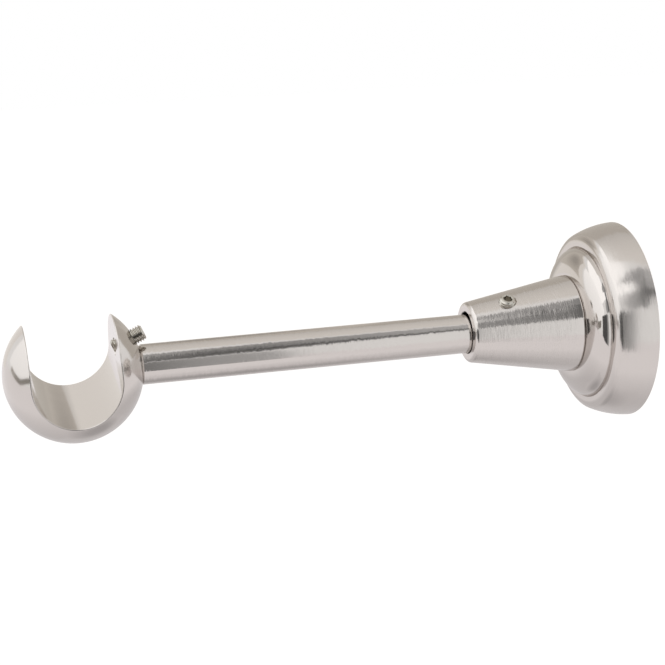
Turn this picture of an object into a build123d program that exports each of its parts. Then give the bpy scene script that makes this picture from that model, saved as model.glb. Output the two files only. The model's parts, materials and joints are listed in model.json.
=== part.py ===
from build123d import *
import math
import os

# Curtain pole bracket for a wall. Millimetres.
# Origin: middle of the wall face, on the axis of the rose. +Y points into the wall, +Z up,
# +X along the pole. The arm stands out along -Y, and "out" below is a distance from the wall.

# The pole that the hook holds
pole_r = 12.5
pole_play = 0.15
pole_out = 170.35

# Hook: a ball with a channel cut across it, open at the top and leaning a little off the wall
ball_wall = 7.65
channel_rise = 2.18
channel_lead = 0.27
slot_lean = 2.0
ball_drop = 0.7
rim_round = 0.25

# Rod and the stud that joins it to the hook
rod_r = 5.93
rod_inset = 30.0
rod_end_chamfer = 0.8
rod_seat_depth = 0.41
rod_seat_play = 0.03
stud_r = 3.0
stud_in_hook = 4.2
stud_in_rod = 9.0
stud_chamfer = 0.5
tap_runout = 0.3

# Cone socket, clamped through the web of the rose by its hollow threaded spigot
socket_play = 0.40
rod_rest_gap = 0.05
cone_tip_wall = 2.85
cone_flare = 5.88
cone_length = 33.2
mouth_round = 1.2
mouth_chamfer = 0.3
cone_foot_round = 0.5
spigot_wall = 2.7
spigot_play = 0.10
spigot_runout = 0.8

# Nut and spring washer on the spigot
nut_rim = 3.0
nut_height = 3.2
washer_rim = 2.6
washer_thick = 0.8
washer_split = 1.2

# Rose: a cast cup with a rounded flange and a low dome under the cone
dome_width = 8.05
dome_height = 4.8
dome_wall = 3.5
ledge_width = 3.6
shoulder_round = 2.9
flange_spread = 3.55
flange_bow = 0.73
groove_width = 0.5
groove_depth = 0.4
flange_height = 12.15
rose_wall = 2.0
web_thick = 4.2

# Wall plate: a pressed dish inside the rose, held to the wall by two screws
plate_thick = 2.0
plate_gap = 0.4
lip_thick = 1.5
lip_height = 6.5
wall_hole_r = 2.5
wall_hole_spacing = 34.0

# Headless screws: radius, length, point and hexagon socket
thread_play = 0.05
contact_gap = 0.05
m5_r = 2.45
m5_key = 2.5
m4_r = 1.95
m4_key = 2.0
key_depth = 2.2
point_chamfer = 0.9
rim_chamfer = 0.6
pole_screw_length = 10.0
pole_screw_tilt = 24.0
pole_screw_proud = 0.55
pole_screw_clear = 0.74
grub_length = 7.0
grub_inset = 11.4
grub_turn = 22.0
grub_sink = 0.25
lock_length = 4.0
lock_boss_rim = 1.5

# Extra reach of a cutting tool past the face that it cuts
overcut = 1.0

# Radii worked out from the rod outwards
socket_r = rod_r + socket_play
spigot_r = socket_r + spigot_wall
cone_tip_r = socket_r + cone_tip_wall
cone_foot_r = cone_tip_r + cone_flare
dome_r = cone_foot_r + dome_width
flange_top_r = dome_r + ledge_width
rose_r = flange_top_r + flange_spread

# Distances out from the wall
seat_out = flange_height + dome_height
web_out = seat_out - web_thick
washer_out = web_out - washer_thick
nut_out = washer_out - nut_height
spigot_out = nut_out - spigot_runout
mouth_out = seat_out + cone_length
rod_inner_out = mouth_out - rod_inset
inner_top_out = flange_height - rose_wall

# Heights and the hook's ball
rod_z = rod_rest_gap - socket_play
seat_r = pole_r + pole_play
ball_r = seat_r + ball_wall
ball_z = rod_z - ball_drop
ball_out = pole_out - channel_lead
channel_z = ball_z + channel_rise
rod_edge_rise = ball_drop + rod_r - rod_end_chamfer
rod_seat_out = ball_out - math.sqrt(ball_r**2 - rod_edge_rise**2) + rod_seat_depth


def turned(outline):
    """Spin a face drawn as (radius, -distance out) about the Y axis."""
    return revolve(outline, axis=Axis.Y)


def near(face, radius, out):
    """The corner of a drawn face closest to a radius and a distance out."""
    return face.vertices().sort_by_distance((radius, -out, 0))[0]


def along_arm(radius, out_from, out_to, z=0.0):
    """A plain cylinder along the arm between two distances out."""
    middle = (out_from + out_to) / 2
    return Pos(0, -middle, z) * Rot(90, 0, 0) * Cylinder(radius, out_to - out_from)


def headless_screw(radius, length, key):
    """A set screw with its point at the origin, standing along +Z, its hexagon socket on top."""
    outline = make_face(
        Polyline(
            (0, 0),
            (radius - point_chamfer, 0),
            (radius, point_chamfer),
            (radius, length - rim_chamfer),
            (radius - rim_chamfer, length),
            (0, length),
            close=True,
        )
    )
    body = revolve(Plane.XZ * outline, axis=Axis.Z)
    socket = extrude(Pos(0, 0, length) * RegularPolygon(key / 2, 6, major_radius=False), -key_depth)
    return body - socket


def hole_along(plane, radius, start, end):
    """A cylinder along a plane's normal from one distance to another."""
    return plane * Pos(0, 0, (start + end) / 2) * Cylinder(radius, end - start)


def make_rose(lock_plane, plate_r):
    """The cup that stands on the wall, turned outside and hollow behind."""
    flange = SagittaArc((rose_r, 0), (flange_top_r, -flange_height), flange_bow)
    dome = EllipticalCenterArc((cone_foot_r, -flange_height), dome_width, dome_height, 0, arc_size=-90)
    steps = Polyline(
        flange @ 1,
        (dome_r + groove_width, -flange_height),
        (dome_r, groove_depth - flange_height),
        dome @ 0,
    )
    closing = Polyline(dome @ 1, (0, -seat_out), (0, 0), flange @ 0)
    outline = make_face(flange + steps + dome + closing)
    outside = turned(fillet(near(outline, flange_top_r, flange_height), shoulder_round))

    pocket_r = dome_r - dome_wall
    cavity = turned(
        make_face(
            Polyline(
                (0, 0),
                (cavity_r(0), 0),
                (cavity_r(inner_top_out), -inner_top_out),
                (pocket_r, -inner_top_out),
                (pocket_r, -web_out),
                (0, -web_out),
                close=True,
            )
        )
    )

    boss_r = m4_r + thread_play + lock_boss_rim
    boss = hole_along(lock_plane, boss_r, plate_r + contact_gap + rim_chamfer, rose_r) & outside
    lock_hole = hole_along(lock_plane, m4_r + thread_play, plate_r, rose_r + overcut)
    web_hole = along_arm(spigot_r + spigot_play, 0, seat_out + overcut)
    return outside - cavity + boss - lock_hole - web_hole


def make_cone(grub_plane):
    """The tapered socket that the rod slides in, with its spigot behind."""
    face = make_face(
        Polyline(
            (socket_r, -spigot_out),
            (spigot_r, -spigot_out),
            (spigot_r, -seat_out),
            (cone_foot_r, -seat_out),
            (cone_tip_r, -mouth_out),
            (socket_r, -mouth_out),
            close=True,
        )
    )
    face = fillet(near(face, cone_foot_r, seat_out), cone_foot_round)
    face = fillet(near(face, cone_tip_r, mouth_out), mouth_round)
    face = chamfer(near(face, socket_r, mouth_out), mouth_chamfer)
    tapped = hole_along(grub_plane, m5_r + thread_play, 0, cone_foot_r + overcut)
    surface_r = cone_tip_r + cone_flare * grub_inset / cone_length
    mouth_r = m5_r + thread_play + grub_sink
    sink_height = 2 * grub_sink
    sink = Cone(m5_r + thread_play - grub_sink, mouth_r + grub_sink, 2 * sink_height)
    countersink = grub_plane * Pos(0, 0, surface_r) * sink
    return turned(face) - tapped - countersink


def make_nut():
    """A thin hexagon nut on the spigot."""
    hexagon = Plane.XZ * RegularPolygon(spigot_r + nut_rim, 6, major_radius=False)
    blank = extrude(Pos(0, -nut_out, 0) * hexagon, nut_height)
    return blank - along_arm(spigot_r + thread_play, nut_out - overcut, washer_out + overcut)


def make_washer():
    """A split spring washer between the nut and the web of the rose."""
    inner_r = spigot_r + spigot_play
    outer_r = inner_r + washer_rim
    ring = along_arm(outer_r, washer_out, web_out)
    ring -= along_arm(inner_r, washer_out - overcut, web_out + overcut)
    middle_out = (washer_out + web_out) / 2
    split = Pos(0, -middle_out, outer_r) * Box(washer_split, 2 * washer_thick, 2 * outer_r)
    return ring - split


def make_plate(plate_r):
    """A pressed dish with a turned-up lip and two screw holes."""
    plate = along_arm(plate_r, 0, lip_height)
    plate -= along_arm(plate_r - lip_thick, plate_thick, lip_height + overcut)
    for side in (-1, 1):
        height = side * wall_hole_spacing / 2
        plate -= along_arm(wall_hole_r, -overcut, plate_thick + overcut, height)
    return plate


def rod_blank(play=0.0):
    """The plain round rod, bevelled at both ends, with some room round it."""
    rod = along_arm(rod_r + play, rod_inner_out, rod_seat_out, rod_z)
    return chamfer(rod.edges().filter_by(GeomType.CIRCLE), rod_end_chamfer)


def make_rod():
    """The rod, tapped at the hook's end."""
    tap_depth = stud_in_rod + tap_runout
    tapped = along_arm(stud_r + thread_play, rod_seat_out - tap_depth, rod_seat_out + overcut, rod_z)
    return rod_blank() - tapped


def make_stud():
    """The threaded stud between the rod and the hook."""
    stud = along_arm(stud_r, rod_seat_out - stud_in_rod, rod_seat_out + stud_in_hook, rod_z)
    return chamfer(stud.edges().filter_by(GeomType.CIRCLE), stud_chamfer)


def make_hook(screw_plane):
    """The ball with its pole channel, the rod's seat and the set screw's hole."""
    slot_height = 2 * ball_r
    slot = Rot(0, 0, slot_lean) * Pos(0, slot_height / 2) * Rectangle(2 * seat_r, slot_height)
    channel = Pos(-pole_out, channel_z) * (Circle(seat_r) + slot)
    ball = Pos(0, -ball_out, ball_z) * Sphere(ball_r)
    hook = ball - extrude(Plane.YZ * channel, ball_r + overcut, both=True)
    hook = fillet(hook.edges(), rim_round)
    hook -= rod_blank(rod_seat_play)
    stud_hole_end = rod_seat_out + stud_in_hook + tap_runout
    hook -= along_arm(stud_r + thread_play, rod_seat_out - overcut, stud_hole_end, rod_z)
    hole_reach = pole_screw_length + ball_r
    return hook - hole_along(screw_plane, m5_r + thread_play, -seat_r, hole_reach)


def pole_screw_place():
    """The pole screw's tip and direction: over the rod, tilted up towards the wall."""
    tilt = math.radians(pole_screw_tilt)
    lean = math.radians(slot_lean)
    direction = Vector(0, math.cos(tilt), math.sin(tilt))
    wall_normal = Vector(0, math.cos(lean), math.sin(lean))
    over_rod = Vector(0, -rod_seat_out, rod_z + rod_r + pole_screw_clear + m5_r / math.cos(tilt))
    past_wall = wall_normal.dot(over_rod - Vector(0, -pole_out, channel_z)) - seat_r
    on_wall = over_rod - direction * (past_wall / wall_normal.dot(direction))
    return Plane(on_wall - direction * pole_screw_proud, z_dir=direction)


def grub_place():
    """The arm screw's line: square to the cone's axis, turned from +Z towards +X."""
    turn = math.radians(grub_turn)
    direction = Vector(math.sin(turn), 0, math.cos(turn))
    return Plane((0, grub_inset - mouth_out, 0), z_dir=direction)


def rod_top_along_grub():
    """Distance from the cone's axis to the rod's surface along the arm screw."""
    turn = math.radians(grub_turn)
    return rod_z * math.cos(turn) + math.sqrt(rod_r**2 - (rod_z * math.sin(turn)) ** 2)


def cavity_r(out):
    """Inside radius of the rose's flange at a distance out from the wall."""
    return rose_r - rose_wall - flange_spread * out / inner_top_out


plate_r = cavity_r(lip_height) - plate_gap
lock_out = (plate_thick + lip_height) / 2
lock_plane = Plane((0, -lock_out, 0), z_dir=(0, 0, -1))
grub_plane = grub_place()
pole_screw_plane = pole_screw_place()
grub_tip = rod_top_along_grub() + contact_gap
lock_tip = plate_r + contact_gap

nodes = {
    "wall_plate": make_plate(plate_r),
    "rose": make_rose(lock_plane, plate_r),
    "rose_lock_screw": lock_plane * Pos(0, 0, lock_tip) * headless_screw(m4_r, lock_length, m4_key),
    "cone_socket": make_cone(grub_plane),
    "lock_washer": make_washer(),
    "cone_nut": make_nut(),
    "arm_rod": make_rod(),
    "arm_grub_screw": grub_plane * Pos(0, 0, grub_tip) * headless_screw(m5_r, grub_length, m5_key),
    "hook_stud": make_stud(),
    "hook": make_hook(pole_screw_plane),
    "pole_set_screw": pole_screw_plane * headless_screw(m5_r, pole_screw_length, m5_key),
}

os.makedirs("parts", exist_ok=True)
for name, shape in nodes.items():
    export_step(shape, f"parts/{name}.step")
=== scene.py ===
"""Looks of a curtain pole bracket in nickel plate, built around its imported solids."""

import json
import math

import bmesh
import bpy
from mathutils import Matrix, Vector


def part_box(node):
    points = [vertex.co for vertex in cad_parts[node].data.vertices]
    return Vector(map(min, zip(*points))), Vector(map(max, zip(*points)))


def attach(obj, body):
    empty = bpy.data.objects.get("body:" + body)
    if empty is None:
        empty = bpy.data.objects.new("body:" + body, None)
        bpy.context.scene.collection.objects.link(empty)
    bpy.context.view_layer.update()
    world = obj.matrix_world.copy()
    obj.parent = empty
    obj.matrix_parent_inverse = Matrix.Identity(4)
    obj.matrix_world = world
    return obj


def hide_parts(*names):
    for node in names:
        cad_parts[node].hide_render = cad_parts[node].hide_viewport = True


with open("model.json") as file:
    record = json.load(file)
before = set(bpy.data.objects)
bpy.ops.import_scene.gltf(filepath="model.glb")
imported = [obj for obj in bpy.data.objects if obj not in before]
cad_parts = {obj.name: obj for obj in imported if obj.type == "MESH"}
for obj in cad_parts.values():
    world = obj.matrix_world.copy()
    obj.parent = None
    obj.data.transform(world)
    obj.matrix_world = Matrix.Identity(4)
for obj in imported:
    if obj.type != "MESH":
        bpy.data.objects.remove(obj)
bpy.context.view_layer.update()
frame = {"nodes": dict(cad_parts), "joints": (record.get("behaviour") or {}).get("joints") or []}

# Lengths of the bracket and its finishes are in millimetres, those of the studio in metres
MM = 0.001

# Set screws: coarse metric pitch, with the depth and the flats of the thread as shares of it
M5_PITCH = 0.8
M4_PITCH = 0.7
M5_KEY = 2.5
M4_KEY = 2.0
KEY_SIDES = 6
KEY_DEPTH = 2.2
KEY_MOUTH = 0.25
THREAD_DEPTH = 0.61
CREST_FLAT = 0.14
ROOT_FLAT = 0.2
CREST_CLEAR = 0.02
POINT_CHAMFER = 0.9
RIM_CHAMFER = 0.6
THREAD_STEPS = 48
SPARE_TURNS = 2
ROUND_STEPS = 64
THREAD_MERGE = 1e-4
ROUND_MERGE = 1e-5
TIP_FLATNESS = 0.001
SHARP_ANGLE = math.radians(32)

# Nickel plate, a near-black painted shade inside a bore, and the width over which one turns into the other
NICKEL = "#D1CCC8"
BORE_PAINTED_SHADE = "#35312D"
BORE_EDGE = 0.1

# Brush strokes: the roughness where there are none, and the share of them that polishing leaves
POLISHED = 0.07
LEAST_WORKED = 0.15
# The spans of the noise over which a stroke leans from side to side, and cuts from smooth to rough
LEAN_SPAN = (0.25, 0.75)
CUT_SPAN = (0.35, 0.68)
CUT_SHIFT = (3.1, 7.7, 5.3)
CUT_SCALE = 1.6
# Reflections spread a quarter turn away from the strokes, so across them
STROKE_SPREAD = 0.7
QUARTER_TURN = 0.25

# Castings and plated steel: sizes of the unevenness, and how far it moves roughness and colour
UNEVEN_SPAN = (0.3, 0.7)
BUFFING_WAVE = 9.0
BUFFING_HEIGHT = 0.1
BUFFING_STRENGTH = 0.5
HAZE_SIZE = 3.0
HAZE_SWING = (0.85, 1.2)
MOTTLE_SWING = (0.8, 1.25)
MOTTLE_TONE = (0.86, 1.0)


def srgb(hex_colour):
    """A hex colour as linear red, green, blue and alpha."""
    parts = [int(hex_colour[i:i + 2], 16) / 255 for i in (1, 3, 5)]
    return [c / 12.92 if c <= 0.04045 else ((c + 0.055) / 1.055) ** 2.4 for c in parts] + [1.0]


def add_node(tree, kind, settings=None, inputs=None):
    """Add a node, set its properties, and set or link its inputs."""
    node = tree.nodes.new(kind)
    for name, value in (settings or {}).items():
        setattr(node, name, value)
    for socket, value in (inputs or {}).items():
        if isinstance(value, bpy.types.NodeSocket):
            tree.links.new(value, node.inputs[socket])
        else:
            node.inputs[socket].default_value = value
    return node


def new_material(name):
    """An empty node material and its tree."""
    material = bpy.data.materials.new(name)
    material.use_nodes = True
    material.node_tree.nodes.clear()
    return material, material.node_tree


def turned_nickel(name, line, stroke, smooth, rough, tilt, brushed, axis_z=0.0, bore=0.0):
    """Nickel plate over a turned and brushed blank: fine strokes round the Y axis.

    Each stroke leans a little its own way and is smoother or rougher than the next, which frays
    the edges of every reflection into short lines, and all of them spread it across themselves.
    The strokes fade in along Y between the two places in `brushed`, and the rest is polished.
    Inside the radius `bore` the colour is a near-black painted shade. Real strokes are only some
    hundredths of a millimetre wide: `line` draws them as coarse as they need to be to show.
    """
    material, tree = new_material(name)
    place = add_node(tree, "ShaderNodeTexCoord").outputs["Object"]
    centred = add_node(
        tree,
        "ShaderNodeVectorMath",
        {"operation": "SUBTRACT"},
        {0: place, 1: (0, 0, axis_z)},
    )
    across = add_node(
        tree,
        "ShaderNodeVectorMath",
        {"operation": "MULTIPLY"},
        {0: centred.outputs[0], 1: (1, 0, 1)},
    )
    radius = add_node(tree, "ShaderNodeVectorMath", {"operation": "LENGTH"}, {0: across.outputs[0]})
    parts = add_node(tree, "ShaderNodeSeparateXYZ", None, {0: centred.outputs[0]})
    along = add_node(
        tree,
        "ShaderNodeMath",
        {"operation": "ADD"},
        {0: parts.outputs["Y"], 1: radius.outputs["Value"]},
    )
    lengths = add_node(
        tree,
        "ShaderNodeCombineXYZ",
        None,
        {"X": parts.outputs["X"], "Y": along.outputs[0], "Z": parts.outputs["Z"]},
    )
    strokes = add_node(
        tree,
        "ShaderNodeVectorMath",
        {"operation": "DIVIDE"},
        {0: lengths.outputs[0], 1: (stroke * MM, line * MM, stroke * MM)},
    )
    worked = add_node(
        tree,
        "ShaderNodeMapRange",
        None,
        {0: parts.outputs["Y"], 1: brushed[0] * MM, 2: brushed[1] * MM, 3: LEAST_WORKED, 4: 1.0},
    )

    shifted = add_node(
        tree,
        "ShaderNodeVectorMath",
        {"operation": "ADD"},
        {0: strokes.outputs[0], 1: CUT_SHIFT},
    )
    cut = add_node(
        tree,
        "ShaderNodeTexNoise",
        None,
        {"Vector": shifted.outputs[0], "Scale": CUT_SCALE, "Detail": 2.0, "Roughness": 0.6},
    )
    grain = add_node(
        tree,
        "ShaderNodeMapRange",
        None,
        {0: cut.outputs[0], 1: CUT_SPAN[0], 2: CUT_SPAN[1], 3: smooth, 4: rough},
    )
    roughness = add_node(
        tree,
        "ShaderNodeMapRange",
        None,
        {0: worked.outputs[0], 3: POLISHED, 4: grain.outputs[0]},
    )

    lean = add_node(
        tree,
        "ShaderNodeTexNoise",
        None,
        {"Vector": strokes.outputs[0], "Scale": 1.0, "Detail": 2.0, "Roughness": 0.7},
    )
    swing = add_node(
        tree,
        "ShaderNodeMapRange",
        None,
        {0: lean.outputs[0], 1: LEAN_SPAN[0], 2: LEAN_SPAN[1], 3: -tilt, 4: tilt},
    )
    angle = add_node(
        tree,
        "ShaderNodeMath",
        {"operation": "MULTIPLY"},
        {0: swing.outputs[0], 1: worked.outputs[0]},
    )
    tangent = add_node(
        tree,
        "ShaderNodeVectorMath",
        {"operation": "CROSS_PRODUCT"},
        {0: across.outputs[0], 1: (0, 1, 0)},
    )
    direction = add_node(tree, "ShaderNodeVectorMath", {"operation": "NORMALIZE"}, {0: tangent.outputs[0]})
    push = add_node(
        tree,
        "ShaderNodeVectorMath",
        {"operation": "SCALE"},
        {0: direction.outputs[0], "Scale": angle.outputs[0]},
    )
    face = add_node(tree, "ShaderNodeNewGeometry").outputs["Normal"]
    leaning = add_node(tree, "ShaderNodeVectorMath", {"operation": "ADD"}, {0: face, 1: push.outputs[0]})
    normal = add_node(tree, "ShaderNodeVectorMath", {"operation": "NORMALIZE"}, {0: leaning.outputs[0]})

    colour = srgb(NICKEL)
    # Painted shade: inside the radius `bore` the base colour turns near black
    if bore:
        plated = add_node(
            tree,
            "ShaderNodeMapRange",
            None,
            {0: radius.outputs["Value"], 1: bore * MM, 2: (bore + BORE_EDGE) * MM, 3: 0.0, 4: 1.0},
        )
        bore_shade_mix = add_node(
            tree,
            "ShaderNodeMix",
            {"data_type": "RGBA"},
            {"Factor": plated.outputs[0], "A": srgb(BORE_PAINTED_SHADE), "B": colour},
        )
        colour = bore_shade_mix.outputs["Result"]
    shader = add_node(
        tree,
        "ShaderNodeBsdfPrincipled",
        None,
        {
            "Base Color": colour,
            "Metallic": 1.0,
            "Roughness": roughness.outputs[0],
            "Anisotropic": STROKE_SPREAD,
            "Anisotropic Rotation": QUARTER_TURN,
            "Normal": normal.outputs[0],
            "Tangent": direction.outputs[0],
        },
    )
    add_node(tree, "ShaderNodeOutputMaterial", None, {"Surface": shader.outputs[0]})
    return material


def polished_nickel(name, colour, roughness):
    """Nickel plate over a polished casting: smooth, with a faint waviness left by the buffing wheel."""
    material, tree = new_material(name)
    place = add_node(tree, "ShaderNodeTexCoord").outputs["Object"]
    wave = add_node(
        tree,
        "ShaderNodeTexNoise",
        None,
        {"Vector": place, "Scale": 1 / (BUFFING_WAVE * MM), "Detail": 1.0},
    )
    bump = add_node(
        tree,
        "ShaderNodeBump",
        None,
        {"Strength": BUFFING_STRENGTH, "Distance": BUFFING_HEIGHT * MM, "Height": wave.outputs[0]},
    )
    haze = add_node(
        tree,
        "ShaderNodeTexNoise",
        None,
        {"Vector": place, "Scale": 1 / (HAZE_SIZE * MM), "Detail": 4.0},
    )
    low, high = [roughness * share for share in HAZE_SWING]
    rough = add_node(
        tree,
        "ShaderNodeMapRange",
        None,
        {0: haze.outputs[0], 1: UNEVEN_SPAN[0], 2: UNEVEN_SPAN[1], 3: low, 4: high},
    )
    shader = add_node(
        tree,
        "ShaderNodeBsdfPrincipled",
        None,
        {
            "Base Color": srgb(colour),
            "Metallic": 1.0,
            "Roughness": rough.outputs[0],
            "Normal": bump.outputs[0],
        },
    )
    add_node(tree, "ShaderNodeOutputMaterial", None, {"Surface": shader.outputs[0]})
    return material


def plated_steel(name, colour, roughness, grain):
    """Plated steel as it comes from the barrel: slightly mottled in gloss and in tone."""
    material, tree = new_material(name)
    place = add_node(tree, "ShaderNodeTexCoord").outputs["Object"]
    mottle = add_node(
        tree,
        "ShaderNodeTexNoise",
        None,
        {"Vector": place, "Scale": 1 / (grain * MM), "Detail": 3.0},
    )
    low, high = [roughness * share for share in MOTTLE_SWING]
    rough = add_node(
        tree,
        "ShaderNodeMapRange",
        None,
        {0: mottle.outputs[0], 1: UNEVEN_SPAN[0], 2: UNEVEN_SPAN[1], 3: low, 4: high},
    )
    tone = add_node(
        tree,
        "ShaderNodeMapRange",
        None,
        {0: mottle.outputs[0], 1: UNEVEN_SPAN[0], 2: UNEVEN_SPAN[1], 3: MOTTLE_TONE[0], 4: MOTTLE_TONE[1]},
    )
    toned = add_node(
        tree,
        "ShaderNodeVectorMath",
        {"operation": "SCALE"},
        {0: srgb(colour)[:3], "Scale": tone.outputs[0]},
    )
    shader = add_node(
        tree,
        "ShaderNodeBsdfPrincipled",
        None,
        {"Base Color": toned.outputs[0], "Metallic": 1.0, "Roughness": rough.outputs[0]},
    )
    add_node(tree, "ShaderNodeOutputMaterial", None, {"Surface": shader.outputs[0]})
    return material


def mesh_object(name, bm, material=None):
    """A new object at the origin from a bmesh, which is freed."""
    mesh = bpy.data.meshes.new(name)
    bm.to_mesh(mesh)
    bm.free()
    piece = bpy.data.objects.new(name, mesh)
    bpy.context.scene.collection.objects.link(piece)
    if material:
        mesh.materials.append(material)
    return piece


def combine(piece, tool, operation):
    """Apply one boolean of a tool to a piece, and remove the tool."""
    modifier = piece.modifiers.new("combine", "BOOLEAN")
    modifier.operation = operation
    modifier.solver = "EXACT"
    modifier.object = tool
    depsgraph = bpy.context.evaluated_depsgraph_get()
    piece.data = bpy.data.meshes.new_from_object(piece.evaluated_get(depsgraph))
    piece.modifiers.clear()
    bpy.data.objects.remove(tool)


def spun(points):
    """A bmesh from (radius, height) points turned fully round Z."""
    bm = bmesh.new()
    verts = [bm.verts.new((radius, 0, height)) for radius, height in points]
    edges = [bm.edges.new(pair) for pair in zip(verts, verts[1:])]
    bmesh.ops.spin(
        bm,
        geom=verts + edges,
        axis=(0, 0, 1),
        cent=(0, 0, 0),
        steps=ROUND_STEPS,
        angle=math.tau,
        use_merge=True,
    )
    bmesh.ops.remove_doubles(bm, verts=bm.verts, dist=ROUND_MERGE)
    bmesh.ops.recalc_face_normals(bm, faces=bm.faces)
    return bm


def threaded_bar(radius, length, pitch):
    """A closed threaded bar along Z that reaches half a pitch past both ends of a screw."""
    root = radius - THREAD_DEPTH * pitch
    crest = CREST_FLAT * pitch / 2
    foot = ROOT_FLAT * pitch / 2
    turns = math.ceil(length / pitch) + 2 * SPARE_TURNS
    start = -SPARE_TURNS * pitch
    ridge = [
        (root, 0),
        (root, foot),
        (radius, pitch / 2 - crest),
        (radius, pitch / 2 + crest),
        (root, pitch - foot),
        (root, pitch),
    ]
    bm = bmesh.new()
    verts = [bm.verts.new((r, 0, start + z)) for r, z in ridge]
    edges = [bm.edges.new(pair) for pair in zip(verts, verts[1:])]
    bmesh.ops.spin(
        bm,
        geom=verts + edges,
        axis=(0, 0, 1),
        cent=(0, 0, 0),
        dvec=(0, 0, pitch / THREAD_STEPS),
        steps=turns * THREAD_STEPS,
        angle=turns * math.tau,
    )
    bmesh.ops.remove_doubles(bm, verts=bm.verts, dist=THREAD_MERGE)
    for height, outward in ((-pitch / 2, -1), (length + pitch / 2, 1)):
        cut = bmesh.ops.bisect_plane(
            bm,
            geom=bm.verts[:] + bm.edges[:] + bm.faces[:],
            plane_co=(0, 0, height),
            plane_no=(0, 0, outward),
            clear_outer=True,
        )
        rim = [e for e in cut["geom_cut"] if isinstance(e, bmesh.types.BMEdge)]
        bmesh.ops.holes_fill(bm, edges=rim)
    bmesh.ops.recalc_face_normals(bm, faces=bm.faces)
    return bm


def headless_screw(node, body, joint, outward, pitch, key, material):
    """A threaded set screw with a hexagon socket, in the place of its plain solid."""
    axis = Vector(next(j["axis"] for j in frame["joints"] if j["name"] == joint)) * outward
    points = [v.co for v in frame["nodes"][node].data.vertices]
    heights = [p.dot(axis) for p in points]
    tip_height = min(heights)
    length = (max(heights) - tip_height) / MM
    tip_points = [p for p, h in zip(points, heights) if h - tip_height < TIP_FLATNESS * MM]
    tip = sum(tip_points, Vector()) / len(tip_points)
    radius = max((p - tip - axis * (h - tip_height)).length for p, h in zip(points, heights)) / MM

    piece = mesh_object(node + "_threaded", threaded_bar(radius, length, pitch), material)
    outer = radius + CREST_CLEAR
    envelope = spun(
        [
            (0, 0),
            (outer - POINT_CHAMFER, 0),
            (outer, POINT_CHAMFER),
            (outer, length - RIM_CHAMFER),
            (outer - RIM_CHAMFER, length),
            (0, length),
        ]
    )
    combine(piece, mesh_object("envelope", envelope), "INTERSECT")

    corner = key / math.sqrt(3)
    top = Matrix.Translation((0, 0, length))
    socket = bmesh.new()
    bmesh.ops.create_cone(
        socket,
        cap_ends=True,
        segments=KEY_SIDES,
        radius1=corner,
        radius2=corner,
        depth=2 * KEY_DEPTH,
        matrix=top,
    )
    combine(piece, mesh_object("socket", socket), "DIFFERENCE")
    mouth = bmesh.new()
    bmesh.ops.create_cone(
        mouth,
        cap_ends=True,
        segments=ROUND_STEPS,
        radius1=corner - KEY_MOUTH,
        radius2=corner + KEY_MOUTH,
        depth=2 * KEY_MOUTH,
        matrix=top,
    )
    combine(piece, mesh_object("mouth", mouth), "DIFFERENCE")

    turn = axis.to_track_quat("Z", "Y").to_matrix().to_4x4()
    piece.data.transform(Matrix.Translation(tip) @ turn @ Matrix.Scale(MM, 4))
    piece.data.shade_smooth()
    piece.data.set_sharp_from_angle(angle=SHARP_ANGLE)
    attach(piece, body)
    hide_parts(node)


# Pressed cup, brushed on its flange: long lines that draw soft patches out, and a mirror-like dome
rose_finish = turned_nickel(
    "brushed_nickel_rose",
    line=0.3,
    stroke=8.0,
    smooth=0.14,
    rough=0.26,
    tilt=0.04,
    brushed=(-12.4, -11.6),
)
# Turned socket, brushed up to its foot: frayed dark and light bands, and a bore darkened by painted shade
cone_finish = turned_nickel(
    "brushed_nickel_cone",
    line=0.3,
    stroke=6.0,
    smooth=0.06,
    rough=0.28,
    tilt=0.055,
    brushed=(-18.0, -20.5),
    # Painted shade inside this radius of the bore
    bore=6.45,
)
# Drawn rod, finely brushed all along: bands with crisp, slightly frayed edges
rod_axis = sum(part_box("arm_rod"), Vector()) / 2
rod_finish = turned_nickel(
    "brushed_nickel_rod",
    line=0.27,
    stroke=2.0,
    smooth=0.06,
    rough=0.17,
    tilt=0.08,
    brushed=(0.0, -1.0),
    axis_z=rod_axis.z,
)
# Buffed casting: smooth reflections with a faint haze
hook_finish = polished_nickel("satin_nickel_casting", NICKEL, roughness=0.12)
# Barrel plated screws: bright and finely mottled
screw_finish = plated_steel("nickel_plated_screw_steel", "#C6C2BA", roughness=0.17, grain=0.6)
# Zinc on the hidden fittings: dull blue grey with a cloudy mottle
zinc_finish = plated_steel("zinc_plated_steel", "#BFC2C4", roughness=0.35, grain=2.0)

finishes = {
    "rose": rose_finish,
    "cone_socket": cone_finish,
    "arm_rod": rod_finish,
    "hook": hook_finish,
    "wall_plate": zinc_finish,
    "lock_washer": zinc_finish,
    "cone_nut": zinc_finish,
    "hook_stud": zinc_finish,
}
for node, finish in finishes.items():
    frame["nodes"][node].data.materials[0] = finish

headless_screw("pole_set_screw", "pole_screw", "pole_screw_slide", -1, M5_PITCH, M5_KEY, screw_finish)
headless_screw("arm_grub_screw", "arm_screw", "arm_screw_slide", 1, M5_PITCH, M5_KEY, screw_finish)
headless_screw("rose_lock_screw", "rose_screw", "rose_screw_slide", 1, M4_PITCH, M4_KEY, screw_finish)

# Pale floor well below the bracket, and the white world round it
WHITE = "#FFFFFF"
PAPER_COLOUR = "#F4F0EE"
PAPER_LIFT = 0.5
WORLD_FILL = 0.6
FLOOR_CENTRE = (0.0, -0.1, -0.60)
FLOOR_SIZE = 6.0


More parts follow.
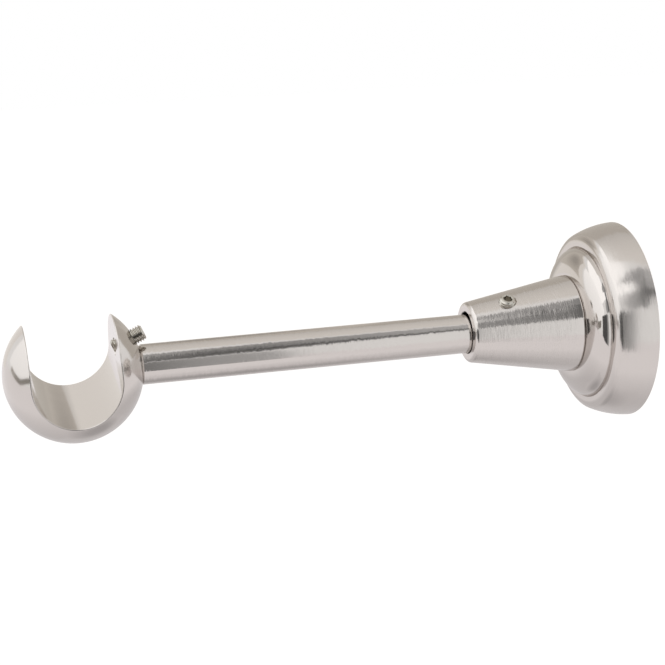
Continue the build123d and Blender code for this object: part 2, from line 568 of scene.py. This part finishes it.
def seen_or_mirrored(tree):
    """1 for rays from the camera, from a reflection or through glass, and 0 for the rest."""
    light_path = add_node(tree, "ShaderNodeLightPath")
    mirrored = add_node(
        tree,
        "ShaderNodeMath",
        {"operation": "MAXIMUM"},
        {0: light_path.outputs["Is Glossy Ray"], 1: light_path.outputs["Is Transmission Ray"]},
    )
    seen = add_node(
        tree,
        "ShaderNodeMath",
        {"operation": "MAXIMUM"},
        {0: light_path.outputs["Is Camera Ray"], 1: mirrored.outputs[0]},
    )
    return seen.outputs[0]


def sweep_paper():
    """White sweep paper: reads as white, keeps the shadow."""
    material, tree = new_material("white_sweep_paper")
    paper = add_node(tree, "ShaderNodeBsdfDiffuse", None, {"Color": srgb(PAPER_COLOUR)})
    lift = add_node(tree, "ShaderNodeEmission", None, {"Color": srgb(WHITE), "Strength": PAPER_LIFT})
    lifted = add_node(tree, "ShaderNodeAddShader", None, {0: paper.outputs[0], 1: lift.outputs[0]})
    seen = add_node(
        tree,
        "ShaderNodeMixShader",
        None,
        {0: seen_or_mirrored(tree), 1: paper.outputs[0], 2: lifted.outputs[0]},
    )
    add_node(tree, "ShaderNodeOutputMaterial", None, {"Surface": seen.outputs[0]})
    return material


def pale_floor():
    """A level sheet of sweep paper that the bracket stands over."""
    bm = bmesh.new()
    centre = Matrix.Translation(FLOOR_CENTRE)
    bmesh.ops.create_grid(bm, x_segments=1, y_segments=1, size=FLOOR_SIZE / 2, matrix=centre)
    piece = mesh_object("floor", bm, sweep_paper())


def white_surroundings():
    """A white world: strength 1 where it is seen or mirrored, less where it only lights."""
    world = bpy.data.worlds.new("white_surroundings")
    bpy.context.scene.world = world
    world.use_nodes = True
    tree = world.node_tree
    tree.nodes.clear()
    strength = add_node(tree, "ShaderNodeMapRange", None, {0: seen_or_mirrored(tree), 3: WORLD_FILL, 4: 1.0})
    background = add_node(
        tree,
        "ShaderNodeBackground",
        None,
        {"Color": srgb(WHITE), "Strength": strength.outputs[0]},
    )
    add_node(tree, "ShaderNodeOutputWorld", None, {"Surface": background.outputs[0]})


def card(name, corners, colour, level):
    """A studio card that shows only in the metal. Its level is a number, or a function of the place."""
    material, tree = new_material(name)
    place = add_node(tree, "ShaderNodeTexCoord").outputs["Object"]
    strength = level(tree, place) if callable(level) else level
    glow = add_node(tree, "ShaderNodeEmission", None, {"Color": srgb(colour), "Strength": strength})
    add_node(tree, "ShaderNodeOutputMaterial", None, {"Surface": glow.outputs[0]})
    bm = bmesh.new()
    bm.faces.new([bm.verts.new(corner) for corner in corners])
    piece = mesh_object(name, bm, material)
    piece.visible_camera = False
    piece.visible_shadow = False
    piece.visible_diffuse = False


def even(axis, start, end, levels):
    """A brightness that runs evenly between two places along an axis."""

    def level(tree, place):
        parts = add_node(tree, "ShaderNodeSeparateXYZ", None, {0: place})
        ramp = {0: parts.outputs[axis], 1: start, 2: end, 3: levels[0], 4: levels[1]}
        return add_node(tree, "ShaderNodeMapRange", None, ramp).outputs[0]

    return level


def around(centre, start, end, levels):
    """A brightness that runs evenly outwards from a centre, between two distances."""

    def level(tree, place):
        away = add_node(tree, "ShaderNodeVectorMath", {"operation": "DISTANCE"}, {0: place, 1: centre})
        ramp = {0: away.outputs["Value"], 1: start, 2: end, 3: levels[0], 4: levels[1]}
        return add_node(tree, "ShaderNodeMapRange", None, ramp).outputs[0]

    return level


def overhead(outline):
    """Corners of a level card above the bracket."""
    return [(x, y, TOP_Z) for x, y in outline]


def flat(z, x, y):
    """Corners of a level rectangle between two places in X and in Y."""
    return [(x[0], y[0], z), (x[1], y[0], z), (x[1], y[1], z), (x[0], y[1], z)]


def facing_x(x, y, z):
    """Corners of an upright rectangle square to X."""
    return [(x, y[0], z[0]), (x, y[1], z[0]), (x, y[1], z[1]), (x, y[0], z[1])]


def facing_y(y, x, z):
    """Corners of an upright rectangle square to Y."""
    return [(x[0], y, z[0]), (x[1], y, z[0]), (x[1], y, z[1]), (x[0], y, z[1])]


pale_floor()
white_surroundings()

# What the metal mirrors is a set of cards, in these colours
NEUTRAL = WHITE
WARM = "#FFF8EE"
CREAM = "#FFFBF6"
ROSY = "#FFFBFC"

# Dark cards over the camera: near, middle and far ones, the outer ones halved at a seam
TOP_Z = 0.9
SEAM_Y = 0.09
NEAR_X = 0.18
MIDDLE_X = 0.47
FAR_X = 0.70
END_X = 1.53
far_left = [
    (FAR_X, -0.1),
    (0.85, -0.35),
    (1.1, -0.56),
    (END_X, -0.56),
    (END_X, SEAM_Y),
    (FAR_X, SEAM_Y),
]
far_right = [
    (FAR_X, SEAM_Y),
    (END_X, SEAM_Y),
    (1.4, 0.22),
    (1.02, 0.31),
    (0.86, 0.5),
    (0.86, 0.9),
    (FAR_X, 0.9),
]
near_left = [(0.26, -0.1), (0.38, -0.32), (MIDDLE_X, -0.32), (MIDDLE_X, SEAM_Y), (NEAR_X, SEAM_Y)]
near_right = [(NEAR_X, SEAM_Y), (MIDDLE_X, SEAM_Y), (MIDDLE_X, 0.45), (0.28, 0.45)]
middle = flat(TOP_Z, x=(MIDDLE_X, FAR_X), y=(-0.04, 0.72))
card("top_far_left", overhead(far_left), NEUTRAL, even("Y", -0.1, SEAM_Y, levels=(0.46, 0.12)))
card("top_far_right", overhead(far_right), NEUTRAL, even("Y", SEAM_Y, 0.7, levels=(0.12, 0.28)))
card("top_middle", middle, NEUTRAL, even("Y", 0.06, 0.3, levels=(0.18, 0.55)))
card("top_near_left", overhead(near_left), NEUTRAL, even("Y", -0.06, 0.04, levels=(0.5, 0.32)))
card("top_near_right", overhead(near_right), NEUTRAL, even("Y", 0.1, 0.4, levels=(0.36, 0.7)))

# The camera and its stand
stand = facing_x(0.25, y=(-0.51, -0.053), z=(-0.075, 0.138))
card("camera_card", stand, NEUTRAL, even("Y", -0.14, -0.09, levels=(0.1, 0.46)))

# Softboxes in front of the hook and, just over the dark cards, above it
SOFTBOX_Y = -1.3
HIGH_Z = TOP_Z + 0.02
front_box = facing_y(SOFTBOX_Y, x=(-1.1, 1.2), z=(-0.05, 0.95))
card("front_softbox", front_box, NEUTRAL, even("Z", 0.0, 0.95, levels=(1.2, 1.35)))
card("high_softbox", flat(HIGH_Z, x=(-0.7, 0.75), y=(-1.25, -0.12)), NEUTRAL, level=1.45)

# A dark strip under the front softbox, which falls to its lowest place and then rises to the right
STRIP_Y = SOFTBOX_Y + 0.01
STRIP_LEVEL = 0.3
left_end = [(-0.75, STRIP_Y, -0.12), (-0.75, STRIP_Y, -0.02)]
lowest = [(-0.15, STRIP_Y, -0.22), (-0.15, STRIP_Y, -0.09)]
right_end = [(0.4, STRIP_Y, -0.02), (0.4, STRIP_Y, 0.14)]
strip_left = [left_end[0], lowest[0], lowest[1], left_end[1]]
strip_right = [lowest[0], right_end[0], right_end[1], lowest[1]]
card("strip_left", strip_left, WARM, even("X", -0.75, -0.15, levels=(0.5, STRIP_LEVEL)))
card("strip_right", strip_right, WARM, STRIP_LEVEL)

# The grey of the room behind the bracket, beside it and over it
BACK_X = -0.4
BACK_Z = (-0.11, 0.39)
BACK_SEAM_Y = -0.07
SIDE_X = -0.15
back = facing_x(BACK_X, y=(BACK_SEAM_Y, 0.9), z=BACK_Z)
back_edge = facing_x(BACK_X, y=(-0.45, BACK_SEAM_Y), z=BACK_Z)
side = facing_x(SIDE_X, y=(-0.145, -0.035), z=(0.0, 0.14))
side_middle = (SIDE_X, -0.1, 0.058)
ceiling = [(-1.0, -0.2), (-0.05, -0.2), (0.15, 0.25), (0.3, 1.2), (-1.0, 1.2)]
card("back_card", back, WARM, even("Y", BACK_SEAM_Y, 0.9, levels=(0.59, 0.57)))
card("back_edge", back_edge, CREAM, even("Y", -0.14, BACK_SEAM_Y, levels=(0.94, 0.6)))
card("side_card", side, WARM, around(side_middle, 0.015, 0.06, levels=(0.44, 0.66)))
card("ceiling_card", overhead(ceiling), CREAM, even("X", -0.85, -0.1, levels=(0.7, 0.87)))

# The paper under the bracket, with painted shade darker behind the rose, and a painted shadow of the rod
# just over it
PAPER_Z = -0.29
SHADOW_Z = PAPER_Z + 0.005
PAPER_REACH = (-2.0, 2.0)
paper = flat(PAPER_Z, x=PAPER_REACH, y=PAPER_REACH)
shadow = flat(SHADOW_Z, x=(-0.17, 0.09), y=(-0.205, 0.055))
# Painted shade: the paper card darkens round the place under the bracket, where its shadow falls
card("paper_card", paper, ROSY, around((-0.25, 0.0, PAPER_Z), 0.26, 0.55, levels=(0.69, 0.97)))
card("rod_shadow", shadow, ROSY, around((-0.04, -0.075, SHADOW_Z), 0.04, 0.13, levels=(0.5, 0.72)))

# Soft key light in front of the bracket and above it
KEY_PLACE = (0.35, -0.95, 0.95)
KEY_TARGET = (0.0, -0.09, 0.0)
KEY_SIZE = 0.9
KEY_POWER = 3.4
key_data = bpy.data.lights.new("soft_key", "AREA")
key_data.shape = "SQUARE"
key_data.size = KEY_SIZE
key_data.energy = KEY_POWER
key = bpy.data.objects.new("soft_key", key_data)
key.location = KEY_PLACE
key.visible_glossy = False
key.rotation_euler = (Vector(KEY_TARGET) - Vector(KEY_PLACE)).to_track_quat("-Z", "Y").to_euler()
bpy.context.scene.collection.objects.link(key)

# The photograph's camera: place in metres, lens in millimetres, angles in degrees
CAMERA_PLACE = (0.43944, -0.21027, 0.17590)
CAMERA_AZIMUTH = 75.0
CAMERA_ELEVATION = 20.69
CAMERA_ROLL = 0.11
CAMERA_LENS = 87.92
CAMERA_SENSOR = 36.0
camera_data = bpy.data.cameras.new("camera")
camera_data.lens = CAMERA_LENS
camera_data.sensor_width = CAMERA_SENSOR
camera = bpy.data.objects.new("camera", camera_data)
azimuth = math.radians(CAMERA_AZIMUTH)
elevation = math.radians(CAMERA_ELEVATION)
reach = math.cos(elevation)
backwards = Vector((math.sin(azimuth) * reach, -math.cos(azimuth) * reach, math.sin(elevation)))
facing = (-backwards).to_track_quat("-Z", "Y").to_matrix()
camera.location = CAMERA_PLACE
camera.rotation_euler = (facing @ Matrix.Rotation(math.radians(CAMERA_ROLL), 3, "Z")).to_euler()
bpy.context.scene.collection.objects.link(camera)
bpy.context.scene.camera = camera
bpy.context.scene.view_settings.view_transform = "Standard"
